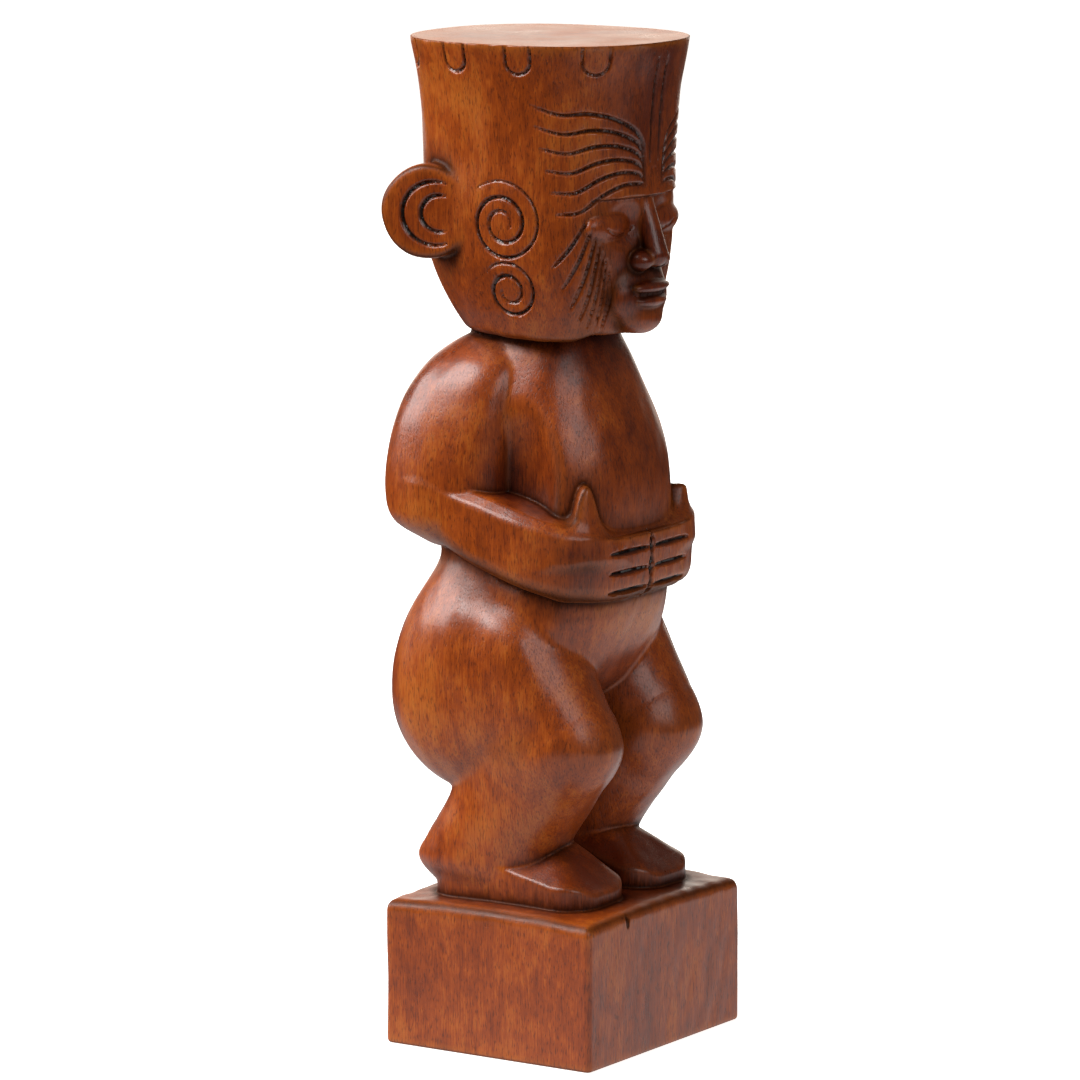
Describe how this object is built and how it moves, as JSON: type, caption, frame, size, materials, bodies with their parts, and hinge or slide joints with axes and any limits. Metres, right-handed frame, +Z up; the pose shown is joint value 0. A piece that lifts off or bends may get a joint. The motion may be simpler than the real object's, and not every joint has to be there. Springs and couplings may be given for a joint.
{
  "type": "carved wooden tiki statue",
  "caption": "Carved wooden figure with a tall flat-topped head, hands on its belly and bent knees, on a block plinth of the same wood.",
  "frame": {"origin": "middle of the plinth's underside", "axes": "+Z up along the figure, -Y out of its face, +X to its left"},
  "size_m": [0.084, 0.0816, 0.3],
  "materials": {
    "stained_wood": "red-brown stained hardwood under satin lacquer, dark in the cuts"
  },
  "bodies": {
    "root": {"tiki_statue": "stained_wood"}
  },
  "joints": []
}
